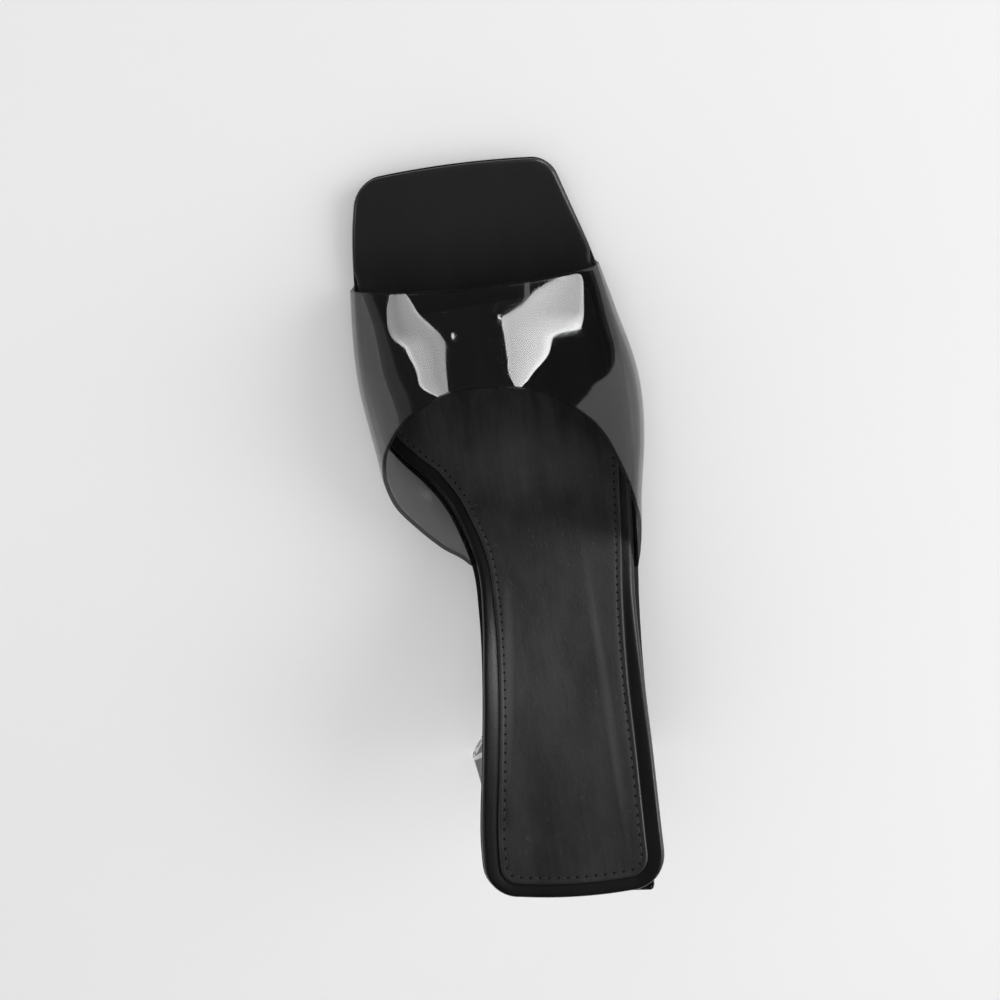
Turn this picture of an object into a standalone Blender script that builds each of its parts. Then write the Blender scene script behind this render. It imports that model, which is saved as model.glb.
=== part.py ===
"""Heeled mule, right shoe: a vinyl band over a padded footbed, on a flared block heel.

Frame: +Y towards the toe, +X towards the outer (lateral) side, +Z up, floor at Z = 0.
A station is a place along the shoe, measured in millimetres from the back of the seat.
Each station has a cross section, turned a little so that it lies square to the foot there.
"""

from math import cos, hypot, pi, radians, sin, sqrt, tan

import bmesh
import bpy

MM = 0.001

# Lengths and heights of the shoe, in millimetres
SOLE_BACK = 0.4
SOLE_TIP = 228.0
SEAT_HEIGHT = 88.4
SEAT_SLOPE = radians(11.4)
BALL_STATION = 147.0
FLAT_END = 172.0
FOREFOOT_HEIGHT = 8.0
TOE_SPRING = 4.0

# Thicknesses of the layers, and the clearance between two pieces
CLEARANCE = 0.3
SOCK_THICKNESS = 1.0
FOOTBED_THICKNESS = 3.6
OUTSOLE_THICKNESS = FOREFOOT_HEIGHT - SOCK_THICKNESS - FOOTBED_THICKNESS - 2 * CLEARANCE
BAND_WALL = 1.4

# Depth of each layer below the top of the sock
FOOTBED_DEPTH = SOCK_THICKNESS + CLEARANCE
OUTSOLE_DEPTH = FOOTBED_DEPTH + FOOTBED_THICKNESS + CLEARANCE
HEEL_DEPTH = FOREFOOT_HEIGHT + CLEARANCE
BAND_FOOT_DEPTH = OUTSOLE_DEPTH - CLEARANCE

# How far the footbed and the sock stand in from the outsole's edge
FOOTBED_INSET = BAND_WALL + CLEARANCE
SOCK_INSET = 5.2
SOCK_FRONT = 181.0

# Round corners of the sole in plan, and how far its two ends bow out
CORNER = {
    "heel": {"medial": 11.0, "lateral": 12.5, "bow": 0.9},
    "toe": {"medial": 8.6, "lateral": 6.5, "bow": 0.9},
}
BOW_REACH = 24.0

# Outline of the outsole: edges are distances from the shoe's axis, across the turned section
SOLE_COLUMNS = ("station", "turn", "medial", "lateral")
SOLE_SECTIONS = (
    (0, -5.5, -26.6, 30.4),
    (20, -5.5, -25.6, 31.6),
    (40, -5.3, -22.1, 33.4),
    (60, -4.5, -18.9, 35.3),
    (80, -3.0, -17.0, 38.5),
    (95, -1.6, -17.2, 41.6),
    (105, -1.0, -20.0, 43.3),
    (115, -0.5, -24.2, 45.0),
    (124, 0.0, -30.5, 46.3),
    (131, 0.0, -37.0, 47.0),
    (138, 0.0, -42.0, 47.4),
    (150, 0.0, -44.0, 47.5),
    (165, 0.0, -44.6, 46.5),
    (180, 0.0, -43.9, 44.5),
    (195, -0.5, -42.3, 41.3),
    (210, -1.8, -39.5, 36.9),
    (230, -2.7, -33.6, 30.9),
)

# Sections of the last under the band: widest places, their rise over the band's foot, and the crown
LAST_COLUMNS = (
    "station", "medial", "medial_rise", "lateral", "lateral_rise", "crown_height", "crown_shift",
)
LAST_SECTIONS = (
    (84, -17.2, 3, 40.2, 3, 44.0, 5.0),
    (94, -17.8, 3, 42.3, 4, 48.0, 4.0),
    (102, -26.0, 7, 43.9, 6, 51.0, 2.0),
    (110, -33.2, 11, 45.3, 8, 53.0, 0.0),
    (118, -39.0, 13.5, 47.1, 10, 54.0, -2.0),
    (127, -42.4, 13, 49.1, 11, 54.0, -4.0),
    (137, -43.8, 11, 50.5, 11, 53.5, -5.0),
    (147, -44.8, 10, 50.6, 11, 52.0, -6.0),
    (157, -45.4, 10, 49.5, 11, 49.5, -7.0),
    (170, -45.2, 10, 46.7, 11, 44.0, -8.0),
    (182, -44.1, 9, 44.1, 10, 37.9, -8.5),
    (195, -42.3, 8, 41.1, 9, 31.0, -9.0),
)
LAST_ROUNDNESS = 2.15
LAST_TUCK = 1.7
WIDEST_ANGLE = 90.0
FOOT_ANGLE = 112.5

# Cut edges of the band: angle round the last (0 at the crown, lateral side positive) and station
EDGE_COLUMNS = ("angle", "station")
GIRTH_PER_DEGREE = 0.75
FRONT_EDGE = (
    (-112.5, 194.5),
    (-57, 192.0),
    (-20, 189.4),
    (28, 186.6),
    (53, 187.0),
    (112.5, 190.2),
)
THROAT_EDGE = (
    (-112.5, 95.0),
    (-96, 95.8),
    (-88, 100.4),
    (-85.5, 106.4),
    (-83.5, 112.4),
    (-81, 118.6),
    (-77, 125.2),
    (-68, 133.0),
    (-46.5, 144.3),
    (-26, 152.5),
    (0, 157.2),
    (21, 152.8),
    (37, 141.5),
    (55, 120.3),
    (68.5, 108.2),
    (82, 98.5),
    (90, 92.5),
    (112.5, 89.0),
)

# Heel block in the seat's own directions: half widths across, and places ahead of the seat's back
HEEL_ORIGIN = (2.4, 0.3)
HEEL_TURN = radians(-8.0)
HEEL_COLUMNS = ("back_half", "back_place", "front_half", "front_place")
HEEL_TOP = (24.2, -2.5, 23.0, 44.0)
HEEL_FOOT = (35.8, 3.1, 17.5, 38.0)
HEEL_FLARE = 1.3
HEEL_EDGE_RADIUS = 1.6
TOP_PIECE_THICKNESS = 5.2

# Rounded rims: how deep and how far in each step of the rim lies
RIM_COLUMNS = ("depth", "inset")
FOOTBED_RIM = ((3.6, 0.5), (3.1, 0.0), (1.8, 0.0), (0.85, 0.3), (0.25, 0.95), (0.0, 1.9))
OUTSOLE_RIM = ((1.0, 0.5), (0.82, 0.0), (0.18, 0.0), (0.0, 0.45))
SOCK_RIM = ((1.0, 0.0), (0.3, 0.0), (0.0, 0.4))

# Fineness of the faceted solids
CORNER_STEPS = 6
SIDE_STEPS = 44
SOLE_COLUMNS_ACROSS = 4
BAND_COLUMNS = 56
BAND_ROWS = 14
HEEL_CELLS = (8, 8, 7)
SQUARE_END_ROWS = 3.0
SHARP_ANGLE = radians(40)


def column(rows, names, name):
    """One named column of a table."""
    place = names.index(name)
    return [row[place] for row in rows]


def curve_through(places, values, place):
    """Smooth curve through the values at their places."""
    count = len(places)
    steps = [places[i + 1] - places[i] for i in range(count - 1)]
    rises = [(values[i + 1] - values[i]) / steps[i] for i in range(count - 1)]
    slopes = [rises[0]]
    for i in range(1, count - 1):
        slopes.append((rises[i - 1] * steps[i] + rises[i] * steps[i - 1]) / (steps[i] + steps[i - 1]))
    slopes.append(rises[-1])
    span = 0
    while span < count - 2 and place > places[span + 1]:
        span += 1
    step = steps[span]
    t = (place - places[span]) / step
    blend = t * t * (3 - 2 * t)
    start = (t - 2 * t * t + t ** 3) * step * slopes[span]
    end = (t ** 3 - t * t) * step * slopes[span + 1]
    return values[span] * (1 - blend) + values[span + 1] * blend + start + end


def sole_value(name, station):
    """A column of the sole's sections, read at a station."""
    stations = column(SOLE_SECTIONS, SOLE_COLUMNS, "station")
    return curve_through(stations, column(SOLE_SECTIONS, SOLE_COLUMNS, name), station)


def last_value(name, station):
    """A column of the last's sections, read at a station."""
    stations = column(LAST_SECTIONS, LAST_COLUMNS, "station")
    return curve_through(stations, column(LAST_SECTIONS, LAST_COLUMNS, name), station)


def tread_height(station):
    """Height of the sock's top: seat, arch, flat forefoot and toe spring."""
    t = min(station / BALL_STATION, 1.0)
    blend = t * t * (3 - 2 * t)
    fall = (t - 2 * t * t + t ** 3) * -tan(SEAT_SLOPE) * BALL_STATION
    height = SEAT_HEIGHT * (1 - blend) + FOREFOOT_HEIGHT * blend + fall
    spring = max(0.0, (station - FLAT_END) / (SOLE_TIP - FLAT_END))
    return height + TOE_SPRING * spring ** 2


def tread_slope(station):
    """Rise of the sock's top for each millimetre forward."""
    reach = 0.05
    return (tread_height(station + reach) - tread_height(station - reach)) / (2 * reach)


def sole_point(station, across, depth):
    """Point of a section at a distance across and a depth square to the tread."""
    turn = radians(sole_value("turn", station))
    slope = tread_slope(station)
    lean = depth * slope / hypot(1, slope)
    x = across * cos(turn) - lean * sin(turn)
    y = station + across * sin(turn) + lean * cos(turn)
    return (x, y, tread_height(station) - depth / hypot(1, slope))


def corner_cut(end, side, from_end, inset):
    """How far a round corner of the sole takes the edge in, near one of its ends."""
    radius = CORNER[end][side] - inset
    if from_end >= radius:
        return 0.0
    return radius - sqrt(max(0.0, radius ** 2 - (radius - max(from_end, 0.0)) ** 2))


def sole_edge(side, station, inset, back, tip, round_toe=True):
    """Distance across to the sole's edge, at an inset from the outsole's edge."""
    reach = 0.5
    tilt = (sole_value(side, station + reach) - sole_value(side, station - reach)) / (2 * reach)
    cut = inset * hypot(1, tilt) + corner_cut("heel", side, station - back, inset)
    if round_toe:
        cut += corner_cut("toe", side, tip - station, inset)
    inward = 1 if side == "medial" else -1
    return sole_value(side, station) + inward * cut


def row_stations(inset, tip, round_toe=True):
    """Stations of the rows of a sole layer, close together round the corners."""
    back = SOLE_BACK + inset
    heel_radius = max(CORNER["heel"]["medial"], CORNER["heel"]["lateral"])
    toe_radius = max(CORNER["toe"]["medial"], CORNER["toe"]["lateral"]) if round_toe else SQUARE_END_ROWS
    turns = [pi / 2 * k / CORNER_STEPS for k in range(CORNER_STEPS + 1)]
    heel = [back + (heel_radius - inset) * (1 - cos(turn)) for turn in turns]
    toe = [tip - (toe_radius - inset if round_toe else toe_radius) * (1 - cos(turn)) for turn in turns]
    first, last = heel[-1], toe[-1]
    middle = [first + (last - first) * k / SIDE_STEPS for k in range(1, SIDE_STEPS)]
    return heel + middle + toe[::-1]


def end_bow(end, from_end, share):
    """How far an end of the sole bows in towards its two sides."""
    fade = max(0.0, 1 - from_end / BOW_REACH) ** 2
    return CORNER[end]["bow"] * (2 * share - 1) ** 2 * fade


def sole_layer_point(share, row, inset, depth, front=None):
    """Point of a sole layer: share of the way from the medial to the lateral edge, and row."""
    round_toe = front is None
    back = SOLE_BACK + inset
    tip = SOLE_TIP - inset if round_toe else front
    station = row_stations(inset, tip, round_toe)[row]
    medial = sole_edge("medial", station, inset, back, tip, round_toe)
    lateral = sole_edge("lateral", station, inset, back, tip, round_toe)
    bowed = station + end_bow("heel", station - back, share)
    if round_toe:
        bowed -= end_bow("toe", tip - station, share)
    return sole_point(bowed, medial + (lateral - medial) * share, depth)


def underside_height(x, y, depth):
    """Height of the surface at a depth under the tread, straight above a place on the floor."""
    station = y
    for _ in range(6):
        turn = radians(sole_value("turn", station))
        station = y - x * tan(turn)
    return tread_height(station) - depth * hypot(1, tread_slope(station))


def last_point(angle, station):
    """Point on the outside of the band, at an angle round the last and a station."""
    side = "medial" if angle < 0 else "lateral"
    foot = sole_point(station, sole_edge(side, station, 0.0, SOLE_BACK, SOLE_TIP), BAND_FOOT_DEPTH)
    widest = last_value(side, station)
    rise = last_value(side + "_rise", station)
    if abs(angle) > WIDEST_ANGLE:
        up = max(0.0, (FOOT_ANGLE - abs(angle)) / (FOOT_ANGLE - WIDEST_ANGLE))
        tuck = (1 - up) ** LAST_TUCK
        x = widest + (foot[0] - widest) * tuck
        return (x, station + (foot[1] - station) * tuck, foot[2] + rise * up)
    crown_x = last_value("crown_shift", station)
    crown_z = last_value("crown_height", station)
    power = 2 / LAST_ROUNDNESS
    x = crown_x + (widest - crown_x) * sin(radians(abs(angle))) ** power
    z = foot[2] + rise + (crown_z - foot[2] - rise) * max(0.0, cos(radians(angle))) ** power
    return (x, station, z)


def edge_place(edge, share):
    """Angle and station at a share of the way along one of the band's cut edges."""
    angles = column(edge, EDGE_COLUMNS, "angle")
    stations = column(edge, EDGE_COLUMNS, "station")
    lengths = [0.0]
    for i in range(1, len(edge)):
        girth = (angles[i] - angles[i - 1]) * GIRTH_PER_DEGREE
        lengths.append(lengths[-1] + hypot(girth, stations[i] - stations[i - 1]))
    along = share * lengths[-1]
    return curve_through(lengths, angles, along), curve_through(lengths, stations, along)


def band_outside(across, along):
    """Point on the band's outside: shares of the way across, and from throat to front edge."""
    throat_angle, throat_station = edge_place(THROAT_EDGE, across)
    front_angle, front_station = edge_place(FRONT_EDGE, across)
    angle = throat_angle + (front_angle - throat_angle) * along
    return last_point(angle, throat_station + (front_station - throat_station) * along)


def band_inside(across, along):
    """Point on the band's inside, square through its wall."""
    reach = 0.003
    left, right = max(0.0, across - reach), min(1.0, across + reach)
    back, ahead = max(0.0, along - reach), min(1.0, along + reach)
    over = [b - a for a, b in zip(band_outside(left, along), band_outside(right, along))]
    forward = [b - a for a, b in zip(band_outside(across, back), band_outside(across, ahead))]
    normal = (
        over[1] * forward[2] - over[2] * forward[1],
        over[2] * forward[0] - over[0] * forward[2],
        over[0] * forward[1] - over[1] * forward[0],
    )
    inward = BAND_WALL / sqrt(sum(n * n for n in normal))
    return tuple(p - n * inward for p, n in zip(band_outside(across, along), normal))


def heel_outline(share, row, height_share):
    """Place on the floor plan of the heel block, at a share of its height."""
    sizes = {}
    for name, foot, top in zip(HEEL_COLUMNS, HEEL_FOOT, HEEL_TOP):
        curve = height_share if name.endswith("place") else 1 - (1 - height_share) ** HEEL_FLARE
        sizes[name] = foot + (top - foot) * curve
    half = sizes["back_half"] + (sizes["front_half"] - sizes["back_half"]) * row
    ahead = sizes["back_place"] + (sizes["front_place"] - sizes["back_place"]) * row
    across = half * (2 * share - 1)
    x = HEEL_ORIGIN[0] + across * cos(HEEL_TURN) - ahead * sin(HEEL_TURN)
    y = HEEL_ORIGIN[1] + across * sin(HEEL_TURN) + ahead * cos(HEEL_TURN)
    return x, y


def heel_point(share, row, height_share):
    """Point of the heel block between its foot and the sole's underside."""
    x, y = heel_outline(share, row, height_share)
    foot = TOP_PIECE_THICKNESS + CLEARANCE
    seat = underside_height(x, y, HEEL_DEPTH)
    return (x, y, foot + (seat - foot) * height_share)


def make_material(name, colour, roughness, alpha=1.0):
    """Plain finish for one kind of piece."""
    material = bpy.data.materials.new(name)
    material.use_nodes = True
    shader = material.node_tree.nodes["Principled BSDF"]
    shader.inputs["Base Color"].default_value = (*colour, 1.0)
    shader.inputs["Roughness"].default_value = roughness
    shader.inputs["Metallic"].default_value = 0.0
    shader.inputs["Alpha"].default_value = alpha
    return material


def grid_solid(name, columns, rows, layers, place, material, parent):
    """Closed solid from a grid that is extruded layer by layer, then set in place.

    place(share, row, layer) gives a point in millimetres.
    """
    work = bmesh.new()
    bmesh.ops.create_grid(work, x_segments=columns, y_segments=rows, size=1.0)
    cap = list(work.faces)
    for layer in range(1, layers):
        lifted = bmesh.ops.extrude_face_region(work, geom=cap)["geom"]
        corners = [item for item in lifted if isinstance(item, bmesh.types.BMVert)]
        bmesh.ops.translate(work, verts=corners, vec=(0, 0, 1))
        if layer > 1:
            bmesh.ops.delete(work, geom=cap, context="FACES_KEEP_BOUNDARY")
        cap = [item for item in lifted if isinstance(item, bmesh.types.BMFace)]
    for vert in work.verts:
        share = (vert.co.x + 1) / 2
        row = round((vert.co.y + 1) / 2 * rows)
        point = place(share, row, round(vert.co.z))
        vert.co = [value * MM for value in point]
    bmesh.ops.recalc_face_normals(work, faces=work.faces)
    if work.calc_volume(signed=True) < 0:
        bmesh.ops.reverse_faces(work, faces=work.faces)
    mesh = bpy.data.meshes.new(name)
    work.to_mesh(mesh)
    work.free()
    mesh.shade_smooth()
    mesh.set_sharp_from_angle(angle=SHARP_ANGLE)
    mesh.materials.append(material)
    piece = bpy.data.objects.new(name, mesh)
    bpy.context.scene.collection.objects.link(piece)
    piece.parent = parent
    return piece


def make_sole_layer(name, rim, top_depth, inset, material, parent, front=None):
    """Layer of the sole with a rounded rim, following seat, arch and toe spring."""
    depths = column(rim, RIM_COLUMNS, "depth")
    insets = column(rim, RIM_COLUMNS, "inset")

    def place(share, row, layer):
        lip = inset + insets[layer]
        end = None if front is None else front - insets[layer]
        return sole_layer_point(share, row, lip, top_depth + depths[layer], end)

    rows = 2 * CORNER_STEPS + SIDE_STEPS
    return grid_solid(name, SOLE_COLUMNS_ACROSS, rows, len(rim), place, material, parent)


def make_outsole(material, parent):
    """Thin outsole, flat under the forefoot."""
    rim = tuple((depth * OUTSOLE_THICKNESS, lip) for depth, lip in OUTSOLE_RIM)
    return make_sole_layer("outsole", rim, OUTSOLE_DEPTH, 0.0, material, parent)


def make_footbed(material, parent):
    """Wrapped footbed with a rolled rim."""
    return make_sole_layer("footbed", FOOTBED_RIM, FOOTBED_DEPTH, FOOTBED_INSET, material, parent)


def make_sock(material, parent):
    """Stitched top panel, from the heel to under the band."""
    return make_sole_layer("sock", SOCK_RIM, 0.0, SOCK_INSET, material, parent, SOCK_FRONT)


def make_upper(material, parent):
    """Vinyl band over the forefoot, open at the toe, the throat and underneath."""

    def place(share, row, layer):
        along = row / BAND_ROWS
        return band_inside(share, along) if layer else band_outside(share, along)

    return grid_solid("upper", BAND_COLUMNS, BAND_ROWS, 2, place, material, parent)


def round_edges(piece, radius):
    """Rounds the sharp edges of a piece."""
    bevel = piece.modifiers.new("edges", "BEVEL")
    bevel.width = radius * MM
    bevel.segments = 2
    bevel.limit_method = "ANGLE"
    bevel.angle_limit = SHARP_ANGLE


def make_heel(material, parent):
    """Flared block, narrow under the seat and wide on the floor."""
    across, ahead, up = HEEL_CELLS

    def place(share, row, layer):
        return heel_point(share, row / ahead, layer / up)

    piece = grid_solid("heel", across, ahead, up + 1, place, material, parent)
    round_edges(piece, HEEL_EDGE_RADIUS)
    return piece


def make_top_piece(material, parent):
    """Lift that the heel walks on."""
    across, ahead, _ = HEEL_CELLS

    def place(share, row, layer):
        return (*heel_outline(share, row / ahead, 0.0), TOP_PIECE_THICKNESS * layer)

    piece = grid_solid("top_piece", across, ahead, 2, place, material, parent)
    round_edges(piece, HEEL_EDGE_RADIUS / 2)
    return piece


def centre_over_origin(root, pieces):
    """Sets the middle of the shoe's plan over the origin."""
    corners = [vert.co for piece in pieces for vert in piece.data.vertices]
    for axis in (0, 1):
        places = [corner[axis] for corner in corners]
        root.location[axis] = -(min(places) + max(places)) / 2


def main():
    for thing in list(bpy.data.objects):
        bpy.data.objects.remove(thing)
    root = bpy.data.objects.new("mule", None)
    bpy.context.scene.collection.objects.link(root)
    leather = make_material("black_leather", (0.012, 0.012, 0.013), 0.45)
    rubber = make_material("black_rubber", (0.010, 0.010, 0.010), 0.55)
    vinyl = make_material("smoke_vinyl", (0.020, 0.020, 0.022), 0.05, 0.85)
    perspex = make_material("smoke_plastic", (0.035, 0.035, 0.038), 0.08, 0.8)
    lift = make_material("pale_smoke_plastic", (0.16, 0.16, 0.17), 0.2, 0.8)
    pieces = [
        make_outsole(rubber, root),
        make_footbed(leather, root),
        make_sock(leather, root),
        make_upper(vinyl, root),
        make_heel(perspex, root),
        make_top_piece(lift, root),
    ]
    centre_over_origin(root, pieces)
    bpy.context.view_layer.update()


main()
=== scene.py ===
from math import cos, hypot, pi, radians, sin, sqrt, tan

import bmesh
import bpy
from mathutils import Matrix, Vector


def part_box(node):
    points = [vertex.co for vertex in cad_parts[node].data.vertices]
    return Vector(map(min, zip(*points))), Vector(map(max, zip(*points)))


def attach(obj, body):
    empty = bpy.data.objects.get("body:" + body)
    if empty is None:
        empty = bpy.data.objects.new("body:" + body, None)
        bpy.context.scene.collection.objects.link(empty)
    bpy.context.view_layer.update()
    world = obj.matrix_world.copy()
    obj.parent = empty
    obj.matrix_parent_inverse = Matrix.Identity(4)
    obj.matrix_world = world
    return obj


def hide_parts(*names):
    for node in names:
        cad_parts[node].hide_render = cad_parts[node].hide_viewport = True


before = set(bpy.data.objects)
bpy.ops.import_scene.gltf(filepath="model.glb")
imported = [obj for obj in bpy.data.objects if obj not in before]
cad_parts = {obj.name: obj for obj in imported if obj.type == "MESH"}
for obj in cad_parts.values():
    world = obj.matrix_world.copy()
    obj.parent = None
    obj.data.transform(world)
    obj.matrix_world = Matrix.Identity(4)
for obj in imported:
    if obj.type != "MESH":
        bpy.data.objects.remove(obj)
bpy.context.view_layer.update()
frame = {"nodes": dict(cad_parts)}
mm = 0.001
print("frame loaded:", ", ".join(frame["nodes"]))

# The last and its sole. Lengths in millimetres, stations count from the back of the seat to the toe.
sole = {
    "back": 0.4, "tip": 228.0,
    "seatHeight": 88.4, "seatSlope": radians(11.4),
    "ball": 147.0, "flatEnd": 172.0, "forefoot": 8.0, "toeSpring": 4.0,
    "corner": {
        "heel": {"medial": 11.0, "lateral": 12.5, "bow": 0.9},
        "toe": {"medial": 8.6, "lateral": 6.5, "bow": 0.9},
    },
    "bowReach": 24.0,
    "columns": ("station", "turn", "medial", "lateral"),
    "sections": (
        (0, -5.5, -26.6, 30.4),
        (20, -5.5, -25.6, 31.6),
        (40, -5.3, -22.1, 33.4),
        (60, -4.5, -18.9, 35.3),
        (80, -3.0, -17.0, 38.5),
        (95, -1.6, -17.2, 41.6),
        (105, -1.0, -20.0, 43.3),
        (115, -0.5, -24.2, 45.0),
        (124, 0.0, -30.5, 46.3),
        (131, 0.0, -37.0, 47.0),
        (138, 0.0, -42.0, 47.4),
        (150, 0.0, -44.0, 47.5),
        (165, 0.0, -44.6, 46.5),
        (180, 0.0, -43.9, 44.5),
        (195, -0.5, -42.3, 41.3),
        (210, -1.8, -39.5, 36.9),
        (230, -2.7, -33.6, 30.9),
    ),
    "cornerSteps": 10, "sideSteps": 120, "across": 16,  # fineness of the sole's layers
    "padFade": (58.0, 96.0), "cupReach": 30.0,  # where the padding runs out, and how it dips from the back
    # where the footbed's roll may stand out, how far in it is drawn outwards, and its share at the heel
    "behindBand": (60.0, 92.0), "aheadOfBand": (195.5, 199.5), "bandSkew": 5.0,
    "spreadFade": (1.2, 3.2), "heelSpread": 0.3,
    "planDepth": 6.4,  # of the widest ring
    "frontRadius": 3.0,  # where rows close up at a straight front
}


def throughRows(rows, columns, name, place):
    places = [row[columns.index("station")] for row in rows]
    values = [row[columns.index(name)] for row in rows]
    return smoothCurve(places, values, place)


def smoothCurve(places, values, place):
    count = len(places)
    steps = [places[i + 1] - places[i] for i in range(count - 1)]
    rises = [(values[i + 1] - values[i]) / steps[i] for i in range(count - 1)]
    slopes = [rises[0]]
    for i in range(1, count - 1):
        slopes.append((rises[i - 1] * steps[i] + rises[i] * steps[i - 1]) / (steps[i] + steps[i - 1]))
    slopes.append(rises[-1])
    span = 0
    while span < count - 2 and place > places[span + 1]:
        span += 1
    step = steps[span]
    t = (place - places[span]) / step
    blend = t * t * (3 - 2 * t)
    leave = (t - 2 * t * t + t ** 3) * step * slopes[span]
    reach = (t ** 3 - t * t) * step * slopes[span + 1]
    return values[span] * (1 - blend) + values[span + 1] * blend + leave + reach


def soleValue(name, station):
    return throughRows(sole["sections"], sole["columns"], name, station)


def treadHeight(station):
    t = min(station / sole["ball"], 1.0)
    blend = t * t * (3 - 2 * t)
    fall = (t - 2 * t * t + t ** 3) * -tan(sole["seatSlope"]) * sole["ball"]
    height = sole["seatHeight"] * (1 - blend) + sole["forefoot"] * blend + fall
    spring = max(0.0, (station - sole["flatEnd"]) / (sole["tip"] - sole["flatEnd"]))
    return height + sole["toeSpring"] * spring ** 2


def treadSlope(station):
    reach = 0.05
    return (treadHeight(station + reach) - treadHeight(station - reach)) / (2 * reach)


def fadeOut(value, start, end):
    t = min(max((value - start) / (end - start), 0.0), 1.0)
    return 1 - t * t * (3 - 2 * t)


def clearOfBand(side, station):  # 1 behind and ahead of the band's feet, 0 beside them
    place = station if side == "medial" else station + sole["bandSkew"]
    return max(fadeOut(place, *sole["behindBand"]), 1 - fadeOut(place, *sole["aheadOfBand"]))


def solePoint(station, across, depth):  # depth is square to the tread
    turn = radians(soleValue("turn", station))
    slope = treadSlope(station)
    lean = depth * slope / hypot(1, slope)
    x = across * cos(turn) - lean * sin(turn)
    y = station + across * sin(turn) + lean * cos(turn)
    return (x, y, treadHeight(station) - depth / hypot(1, slope))


def cornerCut(end, side, fromEnd, inset):
    radius = sole["corner"][end][side] - inset
    if radius <= 0 or fromEnd >= radius:
        return 0.0
    return radius - sqrt(max(0.0, radius ** 2 - (radius - max(fromEnd, 0.0)) ** 2))


def soleEdge(side, station, inset, back, tip, roundToe=True):
    reach = 0.5
    tilt = (soleValue(side, station + reach) - soleValue(side, station - reach)) / (2 * reach)
    cut = inset * hypot(1, tilt) + cornerCut("heel", side, station - back, inset)
    if roundToe:
        cut += cornerCut("toe", side, tip - station, inset)
    return soleValue(side, station) + (cut if side == "medial" else -cut)


def endBow(end, fromEnd, share):
    fade = max(0.0, 1 - fromEnd / sole["bowReach"]) ** 2
    return sole["corner"][end]["bow"] * (2 * share - 1) ** 2 * fade


def creaseDip(crease, station, share):  # a soft trough across the panel with a low ridge on either side
    off = share - crease["share"]
    along = (station - crease["station"] - crease["skew"] * off) / crease["along"]
    across = off / crease["across"]
    if abs(along) >= 1 or abs(across) >= 1:
        return 0.0
    return crease["depth"] * (1 - along ** 2) ** 2 * (1 - 3 * along ** 2) * (1 - across ** 2) ** 2


# place(share, row) on one ring of a layer
def layerPlacer(inset, depth, front=None, proud=0.0, hollow=0.0, spread=0.0, creases=()):
    roundToe = front is None
    endInset = inset - spread
    back = sole["back"] + inset - spread * sole["heelSpread"]
    tip = sole["tip"] - endInset if roundToe else front
    corner = sole["corner"]
    heelRadius = max(corner["heel"]["medial"], corner["heel"]["lateral"]) - endInset
    toeCorner = max(corner["toe"]["medial"], corner["toe"]["lateral"])
    toeRadius = toeCorner - endInset if roundToe else sole["frontRadius"]
    turns = [pi / 2 * k / sole["cornerSteps"] for k in range(sole["cornerSteps"] + 1)]
    heel = [back + heelRadius * (1 - cos(turn)) for turn in turns]
    toe = [tip - toeRadius * (1 - cos(turn)) for turn in turns]
    length = toe[-1] - heel[-1]
    sides = [heel[-1] + length * k / sole["sideSteps"] for k in range(1, sole["sideSteps"])]
    stations = heel + sides + toe[::-1]
    edges = {}
    for side in ("medial", "lateral"):
        insets = [inset - spread * clearOfBand(side, s) for s in stations]
        edges[side] = [soleEdge(side, s, i, back, tip, roundToe) for s, i in zip(stations, insets)]

    def place(share, row):
        station = stations[row]
        bowed = station + endBow("heel", station - back, share)
        if roundToe:
            bowed -= endBow("toe", tip - station, share)
        pad = fadeOut(station, *sole["padFade"])
        cup = 4 * share * (1 - share) * (1 - fadeOut(station - back, 0.0, sole["cupReach"]))
        sunk = depth + (hollow * cup - proud) * pad + sum(creaseDip(c, station, share) for c in creases)
        medial, lateral = edges["medial"][row], edges["lateral"][row]
        return solePoint(bowed, medial + (lateral - medial) * share, sunk)

    return place


soleRowCount = 2 * sole["cornerSteps"] + sole["sideSteps"]


def findShift():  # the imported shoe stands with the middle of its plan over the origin
    place = layerPlacer(0.0, sole["planDepth"])
    rim = [place(share, row) for share in (0.0, 1.0) for row in range(soleRowCount + 1)]
    rim += [place(k / 20, row) for k in range(21) for row in (0, soleRowCount)]
    low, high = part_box("outsole")
    middle = [(min(p[k] for p in rim) + max(p[k] for p in rim)) / 2 for k in (0, 1)]
    return [(low[k] + high[k]) / 2 / mm - middle[k] for k in (0, 1)]


shiftX, shiftY = findShift()
print("plan shift %.2f %.2f mm" % (shiftX, shiftY))


def toWorld(point):
    return Vector(((point[0] + shiftX) * mm, (point[1] + shiftY) * mm, point[2] * mm))


# Mesh helpers
def finishMesh(work, name, materials, sharp=40):
    mesh = bpy.data.meshes.new(name)
    work.to_mesh(mesh)
    work.free()
    mesh.shade_smooth()
    mesh.set_sharp_from_angle(angle=radians(sharp))
    for material in materials:
        mesh.materials.append(material)
    piece = bpy.data.objects.new(name, mesh)
    bpy.context.scene.collection.objects.link(piece)
    return piece


def faceOut(work):
    bmesh.ops.recalc_face_normals(work, faces=work.faces)
    if work.calc_volume(signed=True) < 0:
        bmesh.ops.reverse_faces(work, faces=work.faces)


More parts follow.
